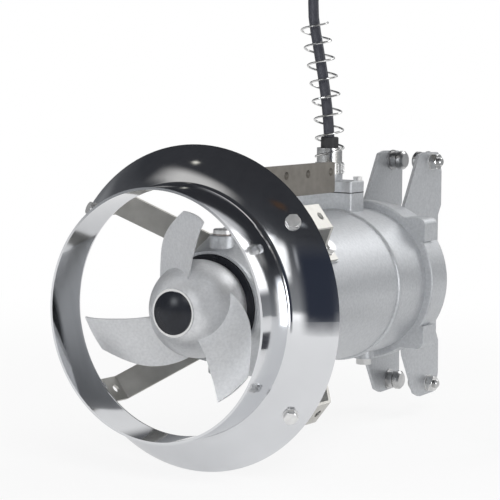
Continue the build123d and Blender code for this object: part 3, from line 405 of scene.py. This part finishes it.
dome_rise = add_math(dome_tree, "DIVIDE", dome_axes.outputs["Z"], dome_radius)
dome_color = add_ramp(dome_tree, dome_rise, [
    (0.0, (0.26, 0.27, 0.28)),
    (0.2, (0.18, 0.185, 0.195)),
    (0.4, (0.08, 0.083, 0.09)),
    (0.6, (0.018, 0.02, 0.026)),
    (1.0, (0.012, 0.013, 0.018)),
])
dome_shader.inputs["Base Color"].default_value = (0, 0, 0, 1)
dome_shader.inputs["Emission Strength"].default_value = 1.0
dome_tree.links.new(dome_color, dome_shader.inputs["Emission Color"])
dome_mesh.materials.append(dome_material)


def card(name, azimuth, elevation, distance, width, height, color, strength, soft=0.5):
    """A board with soft edges that only shows in metal, seen from the ring in the given direction."""
    half_width, half_height = width / 2, height / 2
    mesh = rectangle(name, half_width, half_height)
    board = only_in_reflections(name, mesh)
    turn, lift = math.radians(azimuth), math.radians(elevation)
    away = Vector((math.sin(turn) * math.cos(lift), -math.cos(turn) * math.cos(lift), math.sin(lift)))
    ring_centre = Vector((0, ring_centre_y, axis_height))
    board.matrix_world = (Matrix.Translation(ring_centre + away * distance)
                          @ (-away).to_track_quat("Z", "Y").to_matrix().to_4x4())
    material, tree, shader = new_material(name)
    tree.nodes.remove(shader)
    place = tree.nodes.new("ShaderNodeTexCoord")
    axes = tree.nodes.new("ShaderNodeSeparateXYZ")
    tree.links.new(place.outputs["Object"], axes.inputs["Vector"])
    covers = []
    for axis, half in (("X", half_width), ("Y", half_height)):
        size = add_math(tree, "ABSOLUTE", axes.outputs[axis])
        covers.append(add_range(tree, size, source=(half, half * (1 - soft)), smooth=True))
    cover = add_math(tree, "MULTIPLY", *covers)
    glow = tree.nodes.new("ShaderNodeEmission")
    glow.inputs["Color"].default_value = (*color, 1)
    glow.inputs["Strength"].default_value = strength
    clear = tree.nodes.new("ShaderNodeBsdfTransparent")
    finish_with_mix(tree, "Material Output", cover, clear.outputs["BSDF"], glow.outputs["Emission"])
    mesh.materials.append(material)


# Each board: azimuth and elevation in degrees, then distance, width and height in metres.
# Azimuth 0 lies in front of the ring, 90 to the right and 180 behind.
card("window_front", 19, 19, 2.4, 0.7, 1.0, (1, 1, 1), 1.6, soft=0.6)
card("window_edge", 34, 22, 2.3, 0.22, 0.7, (0.95, 0.97, 1), 0.8, soft=1.0)
card("window_back", 152, 20, 2.2, 0.9, 1.0, (1, 1, 1), 1.8)
card("board_behind", 190, 32, 2.4, 2.0, 1.2, (1, 1, 1), 0.85)
card("window_left", -40, 44, 2.4, 2.6, 0.75, (1, 0.98, 0.95), 0.7, soft=0.8)
card("spot_cap", -27, 13, 2.2, 0.8, 0.6, (0.92, 0.96, 1), 9.0, soft=1.0)
card("window_blade", 4, 24, 2.4, 1.2, 0.7, (0.97, 0.98, 1), 6.0, soft=0.6)
card("board_over", 172, 60, 2.6, 3.0, 1.6, (1, 1, 1), 0.8, soft=0.6)
card("board_low", -112, -3, 1.0, 0.9, 0.22, (0.17, 0.17, 0.175), 1.0, soft=0.6)
card("streak_right", 46, 43, 2.3, 0.7, 0.14, (0.92, 0.96, 1), 0.6, soft=1.0)
card("spot_top", -60, 56, 2.4, 0.26, 0.2, (1, 0.97, 0.86), 1.3, soft=1.0)
card("board_left", -102, 14, 2.4, 1.2, 0.9, (0.95, 0.97, 1), 0.24, soft=0.8)
card("board_right", 97, 2, 2.4, 1.3, 1.6, (1, 0.98, 0.95), 1.0, soft=0.7)
card("board_near", 88, 4, 0.95, 0.42, 0.8, (0.97, 0.98, 1), 7.0, soft=0.8)
card("board_back", 118, 40, 2.4, 1.2, 1.0, (1, 0.98, 0.95), 0.35, soft=0.8)
card("board_dark", 59, 10, 0.665, 0.58, 0.68, (0.032, 0.038, 0.056), 1.0, soft=0.55)
card("board_warm", 30, 52, 2.3, 0.6, 0.3, (0.08, 0.05, 0.035), 1.0, soft=0.8)


def lamp(name, place, aim, size, power, in_reflections=False):
    """A square area lamp of a size in metres and a power in watts."""
    data = bpy.data.lights.new(name, "AREA")
    data.size = size
    data.energy = power
    thing = add_object(name, data)
    direction = Vector(aim) - Vector(place)
    thing.matrix_world = Matrix.Translation(place) @ direction.to_track_quat("-Z", "Y").to_matrix().to_4x4()
    thing.visible_glossy = in_reflections


lamp("key_lamp", (1.6, -1.4, 2.0), (0, 0, 0.15), 1.4, 22)
lamp("front_lamp", (1.0, -2.3, 0.6), (0, -0.2, 0.15), 0.8, 15)
lamp("fill_lamp", (-1.8, -1.6, 1.2), (0, 0, 0.15), 1.6, 10)
lamp("rim_lamp", (0.8, 1.8, 1.6), (0, 0, 0.15), 1.2, 14, in_reflections=True)

# World: full white to the camera, in reflections and through glass, and dimmer as a light
world = bpy.data.worlds.new("studio")
world.use_nodes = True
scene.world = world
world_tree = world.node_tree
background = world_tree.nodes["Background"]
background.inputs["Color"].default_value = (1, 1, 1, 1)
background.inputs["Strength"].default_value = world_light
seen = world_tree.nodes.new("ShaderNodeBackground")
seen.inputs["Color"].default_value = (1, 1, 1, 1)
seen.inputs["Strength"].default_value = 1.0
rays = world_tree.nodes.new("ShaderNodeLightPath").outputs
camera_or_glossy = add_math(world_tree, "MAXIMUM", rays["Is Camera Ray"], rays["Is Glossy Ray"])
any_seen = add_math(world_tree, "MAXIMUM", camera_or_glossy, rays["Is Transmission Ray"])
finish_with_mix(world_tree, "World Output", any_seen,
                background.outputs["Background"], seen.outputs["Background"])

# Camera at the photograph's place
back = Vector((math.sin(camera_azimuth) * math.cos(camera_elevation),
               -math.cos(camera_azimuth) * math.cos(camera_elevation), math.sin(camera_elevation)))
level_right = Vector((math.cos(camera_azimuth), math.sin(camera_azimuth), 0))
level_up = back.cross(level_right)
right = level_right * math.cos(camera_roll) + level_up * math.sin(camera_roll)
up = back.cross(right)
camera_data = bpy.data.cameras.new("camera")
camera_data.lens = camera_lens
camera_data.sensor_width = sensor_width
camera_data.clip_end = clip_end
camera = add_object("camera", camera_data)
camera.matrix_world = Matrix.Translation(camera_place) @ Matrix((right, up, back)).transposed().to_4x4()
scene.camera = camera
scene.render.resolution_x = picture_size
scene.render.resolution_y = picture_size
scene.render.resolution_percentage = 100
scene.render.engine = "CYCLES"
scene.cycles.samples = 160
scene.view_settings.view_transform = "Standard"
